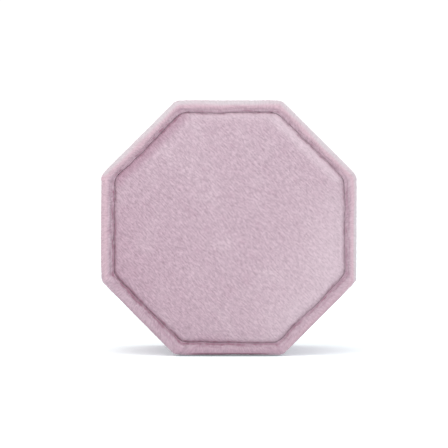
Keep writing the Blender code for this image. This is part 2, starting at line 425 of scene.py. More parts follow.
def inflated(bm, glued, slack=0.0):
    """Points and faces of a closed pad after a cloth simulation with pressure inside it.

    glued tells, from the points, which of them can't move. slack is the share by which the
    cloth is cut larger than the pad.
    """
    bmesh.ops.scale(bm, vec=(SIM_SCALE,) * 3, verts=bm.verts)
    mesh = bpy.data.meshes.new("pad_shape")
    bm.to_mesh(mesh)
    bm.free()
    pad = add_object("pad_shape", mesh)
    remesh = pad.modifiers.new("remesh", "REMESH")
    remesh.mode = "VOXEL"
    remesh.voxel_size = SIM_VOXEL * SIM_SCALE
    fine = evaluated_mesh(pad)
    pad.modifiers.clear()
    pad.data = fine
    points, faces = mesh_arrays(fine)
    group = pad.vertex_groups.new(name="glued")
    group.add(np.flatnonzero(glued(points / SIM_SCALE)).tolist(), 1.0, "REPLACE")
    cloth = pad.modifiers.new("cloth", "CLOTH")
    cloth.settings.use_pressure = True
    cloth.settings.uniform_pressure_force = SIM_PRESSURE
    cloth.settings.vertex_group_mass = "glued"
    cloth.settings.shrink_min = -slack
    cloth.settings.effector_weights.gravity = 0.0
    cloth.point_cache.frame_start = 1
    cloth.point_cache.frame_end = SIM_FRAMES
    for step in range(1, SIM_FRAMES + 1):
        bpy.context.scene.frame_set(step)
    points, faces = mesh_arrays(evaluated_mesh(pad))
    bpy.context.scene.frame_set(1)
    bpy.data.objects.remove(pad)
    return points / SIM_SCALE, faces


def octagon_ring(apothem, corner):
    """A few points round an octagon with rounded corners."""
    ring = []
    reach = (apothem - corner) / cos(HALF_CORNER)
    for side in range(8):
        heading = side * pi / 4 + HALF_CORNER
        for turn in (heading - HALF_CORNER, heading, heading + HALF_CORNER):
            ring.append((
                reach * cos(heading) + corner * cos(turn),
                reach * sin(heading) + corner * sin(turn),
            ))
    return ring


def banded(ring, low, high):
    """The part of a convex ring of points whose y is between low and high."""
    for limit, sign in ((low, 1), (high, -1)):
        kept = []
        for (ax, ay), (bx, by) in zip(ring, ring[1:] + ring[:1]):
            a_inside = (ay - limit) * sign >= 0
            b_inside = (by - limit) * sign >= 0
            if a_inside:
                kept.append((ax, ay))
            if a_inside != b_inside:
                share = (limit - ay) / (by - ay)
                kept.append((ax + (bx - ax) * share, limit))
        ring = kept
    return ring


def block(ring, bottom, top, bevel):
    """A plain block over a ring of points, with a bevelled top edge."""
    bm = bmesh.new()
    floor = bm.faces.new([bm.verts.new((*point, bottom)) for point in ring])
    raised = bmesh.ops.extrude_face_region(bm, geom=[floor], use_keep_orig=True)["geom"]
    crown = next(item for item in raised if isinstance(item, bmesh.types.BMFace))
    bmesh.ops.translate(bm, verts=list(crown.verts), vec=(0, 0, top - bottom))
    bmesh.ops.bevel(
        bm, geom=list(crown.edges), offset=bevel, segments=4, profile=0.5, affect="EDGES"
    )
    bmesh.ops.recalc_face_normals(bm, faces=bm.faces)
    return bm


def crown_share(apothem, x, y, slack=0.0):
    """How high simulated cloth over foam stands at each (x, y), as a share of its highest."""
    thickness = 2.0 * MM
    overhead = 50 * MM
    pad = block(octagon_ring(apothem, INNER_CORNER), -thickness, 0.0, 0.5 * MM)

    def glued(points):
        beyond = octagon_norm(points[:, 0], points[:, 1]) > apothem - 0.4 * MM
        return beyond | (points[:, 2] < -0.3 * thickness)

    points, faces = inflated(pad, glued, slack)
    tree = BVHTree.FromPolygons(points.tolist(), faces)
    down = Vector((0, 0, -1))
    height = np.zeros(x.size)
    for number, (px, py) in enumerate(zip(x.ravel().tolist(), y.ravel().tolist())):
        hit = tree.ray_cast(Vector((px, py, overhead)), down)[0]
        height[number] = max(hit.z, 0.0) if hit else 0.0
    return height.reshape(x.shape) / height.max()


# ------------------------------------------------------------------------------ materials


class Nodes:
    """The node tree of a material or a world, and a short way to add to it."""

    def __init__(self, owner, shader="Principled BSDF"):
        owner.use_nodes = True
        self.owner = owner
        self.tree = owner.node_tree
        self.shader = self.tree.nodes[shader]

    def put(self, value, socket):
        if isinstance(value, bpy.types.NodeSocket):
            self.tree.links.new(value, socket)
        else:
            socket.default_value = value

    def add(self, kind, inputs, output=0, **settings):
        node = self.tree.nodes.new("ShaderNode" + kind)
        for setting, value in settings.items():
            setattr(node, setting, value)
        for socket, value in inputs.items():
            self.put(value, node.inputs[socket])
        return node.outputs[output]

    def mix(self, share, first, second, blend="MIX"):
        """A colour from the first to its blend with the second, by a share from 0 to 1."""
        inputs = {0: share, 6: first, 7: second}
        return self.add("Mix", inputs, output=2, data_type="RGBA", blend_type=blend)

    def math(self, operation, first, second):
        return self.add("Math", {0: first, 1: second}, operation=operation)

    def spread(self, value, low, high, least=0.0, most=1.0):
        """A value's range from low to high, brought to the range from least to most."""
        inputs = {"Value": value, 1: low, 2: high, 3: least, 4: most}
        return self.add("MapRange", inputs, interpolation_type="SMOOTHSTEP")

    def laid(self, places, angle=0.0, size=(1.0, 1.0, 1.0)):
        """Texture coordinates turned by an angle and stretched to lumps of a size in mm."""
        inputs = {"Vector": places, "Rotation": (0.0, 0.0, angle), "Scale": size}
        return self.add("Mapping", inputs, vector_type="TEXTURE")

    def noise(self, places, size=1.0, detail=2.0, roughness=0.5, distortion=0.0):
        inputs = {
            "Vector": places, "Scale": 1.0 / size, "Detail": detail,
            "Roughness": roughness, "Distortion": distortion,
        }
        return self.add("TexNoise", inputs)

    def cloth(self):
        return self.add("Attribute", {}, output=1, attribute_name="cloth")

    def mark(self, name):
        return self.add("Attribute", {}, output=2, attribute_name=name)

    def solid(self):
        """Places in the solid, in millimetres."""
        places = self.add("TexCoord", {}, output=3)
        return self.add("Mapping", {"Vector": places, "Scale": (1000.0, 1000.0, 1000.0)})

    def bump(self, height, depth, strength=1.0):
        inputs = {"Height": height, "Distance": depth, "Strength": strength}
        self.put(self.add("Bump", inputs), self.shader.inputs["Normal"])

    def set(self, **values):
        for socket, value in values.items():
            self.put(value, self.shader.inputs[socket.replace("_", " ")])


def colour(red, green, blue):
    return (red, green, blue, 1.0)


def grey(value):
    return colour(value, value, value)


def scaled(tone, share):
    return colour(*(channel * share for channel in tone[:3]))


def velvet(name, tone, rose, pale, lay, contrast, sheen):
    """Short-pile velvet: tufts that lie one way, patches where the pile leans otherwise.

    The mesh's marks give a painted highlight at edges, painted shade in creases, on slopes and
    undersides, and painted shade in the seam with a painted shadow under the rim at the floor. A
    painted highlight goes from the rose tone to the pale one.
    """
    n = Nodes(bpy.data.materials.new(name))
    cloth = n.cloth()
    tufts = n.noise(n.laid(cloth, lay, (1.3, 0.28, 1.0)), detail=1.0, distortion=0.5)
    mottle = n.noise(n.laid(cloth, lay, (0.62, 0.36, 1.0)), detail=1.0, distortion=0.8)
    strands = n.noise(n.laid(cloth, lay + 0.35, (0.5, 0.12, 1.0)), detail=1.0)
    patches = n.noise(n.laid(cloth, lay, (9.0, 6.0, 1.0)), detail=2.0, distortion=0.5)
    dapples = n.noise(n.laid(cloth, lay, (2.8, 1.5, 1.0)), detail=2.0, distortion=0.5)
    fibre = n.spread(tufts, 0.28, 0.72, 0.0, 0.42)
    fibre = n.math("ADD", fibre, n.spread(mottle, 0.28, 0.72, 0.0, 0.38))
    fibre = n.math("ADD", fibre, n.spread(strands, 0.25, 0.75, 0.0, 0.2))
    shade = n.mix(n.spread(dapples, 0.52, 0.85, 0.0, 0.35), tone, DEEP_PINK)
    shade = n.mix(n.spread(patches, 0.45, 0.8, 0.0, 0.4), shade, SOFT_PINK)
    # Painted shade from a mark, then a painted highlight at edges from the rose tone to the pale
    # one
    shade = n.mix(n.math("MULTIPLY", n.mark("fold"), 0.6), shade, DEEP_PINK)
    shade = n.mix(n.spread(n.mark("edge"), 0.0, 0.6, 0.0, 0.82), shade, rose)
    shade = n.mix(n.spread(n.mark("edge"), 0.6, 1.05, 0.0, 0.85), shade, pale)
    grain = n.mix(fibre, grey(1 - contrast), grey(1 + contrast))
    grain = n.mix(n.math("MULTIPLY", n.mark("edge"), 0.55), grain, grey(1.0))
    shade = n.mix(1.0, shade, grain, "MULTIPLY")
    # Painted shade in the seam, and a darker painted shadow under the rim where it meets the
    # floor
    depths = n.math("ADD", n.mark("seam"), n.math("MULTIPLY", n.mark("seam"), fibre))
    shade = n.mix(n.spread(depths, 0.05, 1.4, 0.0, 1.0), shade, SEAM_SHADE_PINK)
    shade = n.mix(n.spread(n.mark("seam"), 1.1, 2.0, 0.0, 0.6), shade, scaled(SEAM_SHADE_PINK, 0.3))
    n.set(Base_Color=shade, Roughness=n.spread(fibre, 0.1, 0.9, 0.95, 0.75))
    n.set(Sheen_Weight=sheen, Sheen_Roughness=0.35, Sheen_Tint=colour(1.0, 0.95, 0.97))
    n.set(Specular_IOR_Level=0.15)
    n.bump(fibre, 0.09 * MM, 0.7)
    return n.owner


def woven_satin(name, base, shade):
    """Satin: long floats that lie one way, with a slight slub."""
    n = Nodes(bpy.data.materials.new(name))
    cloth = n.cloth()
    floats = n.noise(n.laid(cloth, 0.0, (1.6, 0.09, 1.0)), detail=2.0, roughness=0.6)
    ties = n.add("TexVoronoi", {"Vector": n.laid(cloth, 0.0, (0.32, 0.16, 1.0)), "Scale": 1.0})
    slub = n.noise(n.laid(cloth, 0.0, (9.0, 0.5, 1.0)), detail=3.0)
    weave = n.math("ADD", n.spread(floats, 0.3, 0.7), n.math("MULTIPLY", ties, -0.4))
    tone = n.mix(n.spread(weave, -0.2, 0.9), shade, base)
    tone = n.mix(n.spread(slub, 0.45, 0.8, 0.0, 0.35), tone, shade)
    n.set(Base_Color=tone, Roughness=n.spread(slub, 0.3, 0.7, 0.3, 0.42))
    n.set(Specular_IOR_Level=0.5, Sheen_Weight=0.15, Sheen_Roughness=0.3)
    n.bump(weave, 0.02 * MM, 0.5)
    return n.owner


def moulded_plastic(name, base, shade):
    """Matt moulded plastic with a fine grain and faint flow marks."""
    n = Nodes(bpy.data.materials.new(name))
    places = n.solid()
    grain = n.noise(places, 0.18, detail=3.0, roughness=0.6)
    flow = n.noise(n.laid(places, 0.5, (14.0, 3.0, 5.0)), detail=3.0, distortion=0.8)
    tone = n.mix(n.spread(flow, 0.35, 0.7, 0.0, 0.7), base, shade)
    tone = n.mix(n.spread(grain, 0.45, 0.75, 0.0, 0.35), tone, shade)
    n.set(Base_Color=tone, Roughness=n.spread(grain, 0.3, 0.7, 0.48, 0.68))
    n.bump(grain, 0.02 * MM, 0.5)
    return n.owner


def recycled_board(name, base, shade, fleck):
    """Grey board: pressed fibres and darker flecks of old paper."""
    n = Nodes(bpy.data.materials.new(name))
    places = n.solid()
    fibres = n.noise(n.laid(places, 0.9, (1.8, 0.15, 0.6)), detail=3.0, roughness=0.65)
    lumps = n.noise(places, 2.2, detail=3.0, distortion=0.5)
    flecks = n.add("TexVoronoi", {"Vector": places, "Scale": 1.3})
    tone = n.mix(n.spread(fibres, 0.35, 0.65), base, shade)
    tone = n.mix(n.spread(lumps, 0.4, 0.7, 0.0, 0.4), tone, shade)
    tone = n.mix(n.spread(flecks, 0.1, 0.2, 0.7, 0.0), tone, fleck)
    n.set(Base_Color=tone, Roughness=n.spread(fibres, 0.3, 0.7, 0.85, 0.95))
    n.set(Specular_IOR_Level=0.25)
    n.bump(fibres, 0.05 * MM, 0.6)
    return n.owner


def open_foam(name, base, hollow_shade_and_stain):
    """Upholstery foam: small open cells, painted darker in their hollows as shade, and faint
    darker stains.
    """
    n = Nodes(bpy.data.materials.new(name))
    places = n.solid()
    cells = n.add("TexVoronoi", {"Vector": places, "Scale": 2.1, "Randomness": 0.9})
    stain = n.noise(places, 6.0, detail=2.0)
    # Painted shade in the hollows of the cells, and stains of the same darker colour
    tone = n.mix(n.spread(cells, 0.15, 0.6), hollow_shade_and_stain, base)
    tone = n.mix(n.spread(stain, 0.4, 0.7, 0.0, 0.3), tone, hollow_shade_and_stain)
    n.set(Base_Color=tone, Roughness=n.spread(cells, 0.1, 0.6, 0.98, 0.85))
    n.set(Specular_IOR_Level=0.2)
    n.bump(cells, 0.15 * MM, 0.8)
    return n.owner


PILE_LAY = radians(-46)
WRAP_LAY = radians(72)
LINING_LAY = radians(80)
BAR_LAY = radians(75)

# Dusty pink is the velvet's tone and soft pink its patches. Deep pink serves random dapples and
# painted shade. Rose and pale pink, and for the panel soft pink and a paler soft pink, are
# painted highlight at edges. Seam pink is painted shade in the seam.
DUSTY_PINK = colour(0.425, 0.310, 0.363)
DEEP_PINK = colour(0.333, 0.198, 0.257)
SOFT_PINK = colour(0.51, 0.399, 0.448)
HIGHLIGHT_ROSE_PINK = colour(0.518, 0.354, 0.406)
HIGHLIGHT_PALE_PINK = colour(0.51, 0.472, 0.493)
SEAM_SHADE_PINK = colour(0.272, 0.142, 0.19)

outer_velvet = velvet(
    "panel_velvet", DUSTY_PINK, SOFT_PINK, scaled(SOFT_PINK, 1.12), PILE_LAY, 0.268, 0.35
)
wrap_velvet = velvet("wrap_velvet", DUSTY_PINK, HIGHLIGHT_ROSE_PINK, HIGHLIGHT_PALE_PINK, WRAP_LAY, 0.22, 0.7)
inner_velvet = velvet(
    "inner_velvet", scaled(DUSTY_PINK, 0.95), SOFT_PINK, SOFT_PINK, LINING_LAY, 0.22, 0.35
)
satin = woven_satin("ceiling_satin", colour(0.70, 0.56, 0.61), colour(0.56, 0.42, 0.48))
plastic = moulded_plastic("shell_plastic", colour(0.72, 0.70, 0.67), colour(0.62, 0.60, 0.57))
board = recycled_board(
    "grey_board", colour(0.42, 0.39, 0.34), colour(0.33, 0.30, 0.26), colour(0.16, 0.15, 0.15)
)
foam = open_foam("foam", colour(0.82, 0.79, 0.71), colour(0.55, 0.50, 0.42))


# ------------------------------------------------------------------------ wrapped velvet


def on_seam(x, y):
    """The place on the seam that each point is nearest to."""
    scale = SEAM_READING / np.maximum(octagon_norm(x, y), 1.0 * MM)
    return np.stack([x * scale, y * scale, np.zeros_like(x)], axis=-1)


def seam_wander(x, y):
    """How far the seam strays outwards at each point's place round it."""
    ring = on_seam(x, y)
    return 0.28 * MM * wavy(ring, 8.5 * MM, 3) + 0.16 * MM * wavy(ring, 2.7 * MM, 4)


def ragged(x, y, seed):
    """How far tufts of pile at an edge of the seam reach into it."""
    ring = on_seam(x, y)
    return 0.1 * MM * wavy(ring, 0.75 * MM, seed) + 0.12 * MM * wavy(ring, 3.6 * MM, seed + 1)


def seam_shade(x, y, past, ledge, flank):
    """How much painted shade each point gets in the seam's groove, most at the lower left and
    under the ledge.

    past is how far a point is out of the seam, up to its ledge, in millimetres.
    """
    way_x, way_y = outward(x, y, 12.0)
    places = np.stack([x, y, np.zeros_like(x)], axis=-1)
    streaks = 0.5 * wavy(places, 0.75 * MM, 71) + 0.2 * wavy(on_seam(x, y), 5.0 * MM, 72)
    lower_left = 0.2 * np.clip(-0.7 * (way_x + way_y), 0.0, 1.0) ** 4
    dark = np.clip(0.55 - 0.08 * way_x - 0.04 * way_y + lower_left + streaks, 0.0, 1.0)
    dark *= 0.35 + 0.65 * smooth_step(-0.05, flank, past)
    return dark * smooth_step(ledge + 0.25, ledge - 0.25, past)


def wrinkles(cloth, length, spacing, seed):
    """Long thin creases, from 0 to 1, that come and go along the cloth."""
    lines = pile(cloth, 0.0, length, spacing, seed)
    places = pile(cloth, 0.0, 0.7 * length, 1.6 * spacing, seed + 1)
    return smooth_step(0.16, 0.0, np.abs(lines)) * smooth_step(-0.05, 0.3, places)


def wrap(name, corners, hidden, spacings, rim=None, seam_apothem=None):
    """A velvet wrap: its face goes through the rounded corners, and its back is plain.

    rim is the height of a lid's rim, whose crest gets the creases and gathers of the cloth
    that is pulled over it. Inset, below and past are distances in millimetres: inwards from
    the widest apothem, down from the rim, and outwards from the seam.
    """
    face = rounded_path(corners, spacings)
    turned = [(*point, CLEAR) for point in hidden]
    back = rounded_path(turned, [UNDIVIDED] * len(hidden), arc_spacing=UNDIVIDED)
    loops = swept(np.concatenate([face, back]), rim)
    cloth = loop_places(loops)
    shown = np.zeros((len(loops), 1))
    shown[1 : len(face) - 1] = 1.0
    x, y, height = loops[..., 0], loops[..., 1], loops[..., 2]
    widest = max(corner[0] for corner in corners)
    inset = (widest - octagon_norm(x, y)) / MM
    out_x, out_y = outward(x, y)

    outside = smooth_step(0.9, 0.0, inset) * shown
    push = 0.11 * MM * wavy(loops, 11 * MM, 1) + 0.06 * MM * wavy(loops, 4.5 * MM, 2)
    push = np.minimum(push, 0.02 * MM) * outside
    edge = fold = seam = 0 * height
    if rim:
        below = (rim - height) / MM
        past = (octagon_norm(x, y) - seam_apothem) / MM
        # The seam wanders, the slope is ragged, and the rim stands off the floor
        near_rim = smooth_step(5.0, 1.0, below) * shown
        inwards = smooth_step(0.3, 2.5, inset) * near_rim
        push += seam_wander(x, y) * inwards
        push += ragged(x, y, 31) * hump(1.9, 0.45, inset) * near_rim
        lift = smooth_step(7.0, 1.0, below) * smooth_step(0.8, 1.0, -out_y)
        push -= RIM_LIFT * lift * outside
        x += PANEL_SHIFT[0] * inwards
        y += PANEL_SHIFT[1] * inwards

        # Creases along the crest, and gathers across it at the corners
        crest = near_rim * smooth_step(2.2, 0.8, below)
        inner_side = smooth_step(0.5, 2.2, inset)
        from_corner = corner_distance(x, y) / MM
        gather = hump(0.0, 2.0, from_corner) * crest
        across = pile(cloth, pi / 2, 2.6 * MM, 0.65 * MM, 8)
        creases = pile(cloth, 0.0, 3.2 * MM, 0.5 * MM, 5)
        lines = wrinkles(cloth, 3.6 * MM, 0.7 * MM, 35)

        # Painted highlight: pale colour at the outer edge, as where the pile catches the light,
        # wider at the top and left out at the bottom and lower left
        upwards = smooth_step(0.0, 0.8, out_y)
        downwards = smooth_step(0.6, 1.0, -out_y)
        lower = smooth_step(0.3, 0.7, -out_y)
        edge = smooth_step(2.0 + 1.3 * upwards, 0.1, inset) * shown
        edge *= smooth_step(1.5, 0.4, below)
        edge += 0.15 * wavy(loops, 5.0 * MM, 33) * edge
        less_highlight = np.maximum(smooth_step(0.2, 1.0, -0.75 * (out_x + out_y)), 0.5 * lower)
        less_highlight *= smooth_step(1.2 + 0.9 * lower, 0.6 + 0.9 * lower, inset)
        edge *= (1 - 0.7 * downwards) * (1 - 0.85 * less_highlight)

        # Painted shade: deep, darker colour on the slope, in creases and gathers, and on the
        # underside
        in_creases = smooth_step(0.0, 0.4, -creases) * (1 - 0.45 * upwards)
        under = downwards * smooth_step(2.0, 1.0, inset) * near_rim
        fold = np.maximum.reduce([
            smooth_step(2.0, 2.6, inset) * near_rim * (0.5 - 0.2 * out_y),
            0.8 * lines * crest * inner_side,
            in_creases * crest * inner_side,
            smooth_step(0.1, 0.5, -across) * gather * inner_side,
            under * (0.8 + 0.3 * creases),
        ])

        # Painted shade along the seam's groove, and a painted shadow on the underside where the
        # rim meets the floor
        ledge = 0.42 - 0.1 * out_y + 2.0 * ragged(x, y, 51) / MM
        seam = seam_shade(x, y, past, ledge, 0.3) * near_rim
        painted_contact_shadow = downwards * smooth_step(1.0, 6.0, from_corner)
        painted_contact_shadow *= smooth_step(0.9, 0.2, inset) * near_rim
        seam = np.maximum(seam, 2.0 * painted_contact_shadow)
    x += out_x * push
    y += out_y * push

    normals = loop_normals(loops)
    relief = 0.05 * MM * pile(cloth, WRAP_LAY, 1.3 * MM, 0.42 * MM, 6)
    relief += 0.03 * MM * pile(cloth, WRAP_LAY, 0.5 * MM, 0.35 * MM, 7)
    if rim:
        relief += 0.1 * MM * creases * crest * (0.2 + 0.8 * inner_side)
        relief -= 0.11 * MM * lines * crest * inner_side
        relief += gather * (0.17 * MM * across - 0.05 * MM)
        relief *= (1 - inwards * smooth_step(0.7, 1.1, below))
    loops += normals * (relief * shown)[..., None]

    faces = loop_faces(*loops.shape[:2])
    piece = add_mesh(name, loops, faces, cloth, edge=edge, fold=fold, seam=seam)
    perimeter = 16 * tan(HALF_CORNER) * (widest - SHELL_INSET)
    return piece, (path_length(face), perimeter)


def dress(piece, material, slot, body, *nodes):
    """Gives a piece its material and its body, and hides the CAD nodes it replaces. slot is not
    used.
    """
    piece.data.materials.append(material)
    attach(piece, body)
    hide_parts(*nodes)
    return piece


shell_in, shell_out, shell_mouth, shell_rim = measured("lid_shell")
lip_in = shell_out - LIP_WALL
lid_in, lid_out, lid_mouth, lid_rim = measured("lid_outer_velvet")
lining = lid_in + LINING_ROOM
panel_out, panel_hem, panel_top = measured("top_panel_velvet")[1:]
satin_out, satin_face, satin_hem = measured("ceiling_satin")[1:]
groove = panel_out + SEAM_OFFSET

lid_wrap, lid_cut = wrap(
    "lid_velvet_wrap",
    [
        (groove + SEAM_GAP / 2, panel_hem),
        (groove + SEAM_GAP / 2, lid_rim - SEAM_DEPTH, HEM_ROLL / 2),
        (groove + SEAM_LEDGE, lid_rim - SEAM_DEPTH + 0.1 * MM, HEM_ROLL),
        (groove + RIM_SLOPE, lid_rim, SLOPE_ROLL),
        (lid_out, lid_rim, OUTER_ROLL), (lid_out, lid_mouth, MOUTH_ROLL),
        (lining, lid_mouth, MOUTH_ROLL), (lining, satin_hem),
    ],
    [
        (shell_in - CLEAR, satin_hem), (shell_in - CLEAR, shell_mouth - CLEAR),
        (shell_out + CLEAR, shell_mouth - CLEAR), (shell_out + CLEAR, shell_rim + CLEAR),
        (lip_in - CLEAR, shell_rim + CLEAR), (lip_in - CLEAR, panel_hem),
    ],
    [COARSE, NARROW, NARROW, NARROW, COARSE, COARSE, HIDDEN],
    rim=lid_rim, seam_apothem=groove,
)
dress(lid_wrap, wrap_velvet, "outer_velvet", "lid", "lid_outer_velvet")

shell_in, shell_out, shell_back, shell_mouth = measured("base_shell")
base_in, base_out, base_back, base_mouth = measured("base_outer_velvet")
lining = base_in + LINING_ROOM
recess = base_in + RECESS_ROOM
back_out, back_face, back_hem = measured("bottom_panel_velvet")[1:]
base_wrap, base_cut = wrap(
    "base_velvet_wrap",
    [
        (lining, base_mouth - BASE_TURN_IN), (lining, base_mouth, MOUTH_ROLL),
        (base_out, base_mouth, MOUTH_ROLL), (base_out, base_back, OUTER_ROLL),
        (recess, base_back, OUTER_ROLL), (recess, back_hem),
    ],
    [
        (lip_in - CLEAR, back_hem), (lip_in - CLEAR, shell_back - CLEAR),
        (shell_out + CLEAR, shell_back - CLEAR), (shell_out + CLEAR, shell_mouth + CLEAR),
        (shell_in - CLEAR, shell_mouth + CLEAR), (shell_in - CLEAR, base_mouth - BASE_TURN_IN),
    ],
    [HIDDEN, MIDDLE, COARSE, MIDDLE, MIDDLE],
)
dress(base_wrap, wrap_velvet, "outer_velvet", "base", "base_outer_velvet")

ring_in, ring_out, _, ring_top = measured("collar_ring")
collar_in, collar_out, collar_foot, collar_top = measured("collar_velvet")
collar_wrap, collar_cut = wrap(
    "collar_velvet_wrap",
    [
        (collar_in + CLEAR, COLLAR_HEM), (collar_in + CLEAR, collar_top, 0.7 * MM),
        (collar_out, collar_top, 0.7 * MM), (collar_out, collar_foot),
    ],
    [
        (ring_out + CLEAR, collar_foot), (ring_out + CLEAR, ring_top + CLEAR),
        (ring_in - CLEAR, ring_top + CLEAR), (ring_in - CLEAR, COLLAR_HEM),
    ],
    [COARSE, MIDDLE, COARSE],
)
dress(collar_wrap, inner_velvet, "inner_velvet", "base", "collar_velvet")


# -------------------------------------------------------------------------- padded panels


def panel(name, section, spacings, face_height, crown, lay, relief, seam=False, slack=0.0):
    """An octagonal cover whose section runs from the middle of its face to its inside.

    crown is how far simulated cloth rises over the face, below 0 for one that faces down.
    Inset is the distance inwards from the edge, in millimetres.
    """
    path = rounded_path(section, spacings)
    grid, cloth, ring = octagonal_grid(path, SEAM_CORNER if seam else INNER_CORNER)
    x, y, height = grid[..., 0], grid[..., 1], grid[..., 2]
    on_face = smooth_step(1.0 * MM, 0.0, np.abs(height - face_height))
    widest = path[:, 0].max()
    inset = (widest - octagon_norm(x, y)) / MM
    front = ring <= int(np.argmax(path[:, 0] >= widest - 1e-6))
    if crown:
        share = 1 - (1 - crown_share(widest, x, y, slack)) ** 2
        height += crown * share * on_face * front
    lumps = 0.05 * wavy(grid, 6.5 * MM, 11) + 0.02 * wavy(grid, 2.4 * MM, 12)
    height += lumps * MM * on_face * front
    edge = fold = shade = 0 * height
    if seam:
        across, up = x / widest, y / widest
        out_x, out_y = outward(x, y)
        # The edge wanders with the seam
        outer = smooth_step(9.0, 0.0, inset)
        wander = (seam_wander(x, y) - SEAM_GAP / 2) * outer
        shoulder = smooth_step(2.2, 0.5, inset) * on_face
        wander += (ragged(x, y, 41) - 0.04 * MM) * shoulder

        # Painted light and shade: paler towards the right, darker towards the left and lower
        # left, and a painted highlight along the upper edges
        painted_light_and_shade = across * (0.45 - 0.9 * up) + 0.58 * across**3
        painted_light_and_shade += 0.25 * up**2 * (1 - across**2)
        painted_light_and_shade += 0.3 * wavy(grid, 7.0 * MM, 45) * outer
        towards = np.clip(painted_light_and_shade, 0.0, 1.0)
        glow = smooth_step(0.0, 0.8, out_y) * smooth_step(-0.45, 0.45, out_x)
        glow = 0.88 * glow * smooth_step(3.6, 0.4, inset)
        edge = np.maximum(0.52 * towards, glow)

        # Painted shade: deeper, darker colour where the edge rolls over, most at the upper left
        patches = smooth_step(-0.1, 0.4, wavy(on_seam(x, y), 12.0 * MM, 43))
        rolled = smooth_step(1.0 + 1.6 * patches, 0.0, inset)
        rolled *= (0.35 + 0.35 * patches) * (1 - 0.6 * towards)
        fold = np.maximum(rolled, np.clip(-0.55 * painted_light_and_shade, 0.0, 1.0))
        upper_left = smooth_step(0.5, 1.0, (out_y - out_x) * cos(pi / 4))
        fold = np.maximum(fold, 1.15 * upper_left * smooth_step(3.0, 0.9, inset))

        # Painted shade along the seam's groove
        ledge = 0.38 + 1.5 * ragged(x, y, 61) / MM
        shade = seam_shade(x, y, inset, ledge, 0.25)
        x += out_x * wander + PANEL_SHIFT[0]
        y += out_y * wander + PANEL_SHIFT[1]
    facing = -1.0 if crown < 0 else 1.0
    normals = grid_normals(grid)
    tufts = pile(cloth, lay, 1.3 * MM, 0.42 * MM, 13)
    strands = pile(cloth, lay + 0.35, 0.55 * MM, 0.3 * MM, 14)
    outside = front | (octagon_norm(x, y) > widest - 0.2 * MM)
    depth = relief * (tufts + 0.5 * strands) * outside * on_face * facing
    grid += normals * depth[..., None]
    faces = grid_faces(len(grid))
    return add_mesh(name, grid, faces, cloth, edge=edge, fold=fold, seam=shade)


def cover_section(apothem, inner, face, hem, inside, slope, roll):
    """Section of a cover from the middle of its face, round its edge and up its inside."""
    turn = 0.3 * (apothem - inner)
    shoulder = face + slope * (1 if hem > face else -1)
    return [
        (0.0, face), (apothem - slope, face, roll), (apothem, shoulder, HEM_ROLL),
        (apothem, hem, turn), (inner, hem, turn), (inner, inside, turn),
        (inner - 1.0 * MM, inside),
    ]


_, foam_out, _, foam_top = measured("top_panel_foam")
edge_height = panel_top - PANEL_CROWN
top_panel = panel(
    "top_panel_cover",
    cover_section(
        groove, foam_out + CLEAR, edge_height, panel_hem, foam_top + 0.03 * MM,
        PANEL_SLOPE, 1.0 * MM,
    ),
    [PANEL_GRID, FINE, COARSE, FINE, COARSE, COARSE],
    edge_height, PANEL_CROWN, PILE_LAY, 0.055 * MM, seam=True,
)
dress(top_panel, outer_velvet, "outer_velvet", "lid", "top_panel_velvet")

board_out, board_back = measured("bottom_panel_board")[1:3]
bottom_panel = panel(
    "bottom_panel_cover",
    cover_section(
        back_out + BACK_SPREAD, board_out + CLEAR, back_face, back_hem, board_back - CLEAR,
        0.5 * MM, 1.0 * MM,
    ),
    [PLAIN_GRID, FINE, COARSE, FINE, COARSE, COARSE],
    back_face, 0.0, PILE_LAY, 0.02 * MM,
)
dress(bottom_panel, outer_velvet, "outer_velvet", "base", "bottom_panel_velvet")

ceiling_foam_out, ceiling_foam_face = measured("ceiling_foam")[1:3]
ceiling_edge = satin_face + CEILING_CROWN / 2
ceiling = panel(
    "ceiling_satin_cover",
    cover_section(
        satin_out, ceiling_foam_out + CLEAR, ceiling_edge, satin_hem,
        ceiling_foam_face - 0.02 * MM, 0.5 * MM, 0.8 * MM,
    ),
    [PLAIN_GRID, FINE, COARSE, FINE, COARSE, COARSE],
    ceiling_edge, -CEILING_CROWN, 0.0, 0.01 * MM, slack=0.004,
)
dress(ceiling, satin, "satin", "lid", "ceiling_satin")


# -------------------------------------------------------------------------- ring cushion


def kept_off(points, node, gap):
    """Moves points so that they are no nearer than a gap to a foam bar."""
    low_corner, high_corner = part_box(node)
    apothem, _, top = measured(node)[1:]
    x, y, height = points.T
    way_x, way_y = outward(x, y)
    zero, one = np.zeros_like(x), np.ones_like(x)
    ways = np.stack(
        [[zero, -one, zero], [zero, one, zero], [way_x, way_y, zero], [zero, zero, one]]
    )
    beyond = np.stack([
        low_corner.z - AXIS_Z - y, y - (high_corner.z - AXIS_Z),
        octagon_norm(x, y) - apothem, height - top,
    ]) + FOAM_CORE
    most = beyond.max(axis=0)
    share = np.maximum(np.maximum(beyond, 0.0), np.where(beyond >= most - 1e-9, 1e-6, 0.0))
    reach = np.linalg.norm(share, axis=0)
    short = np.maximum(FOAM_CORE + gap - np.where(most > 0, reach, most), 0)
    return points + (ways * (share / reach)[:, None, :]).sum(axis=0).T * short[:, None]


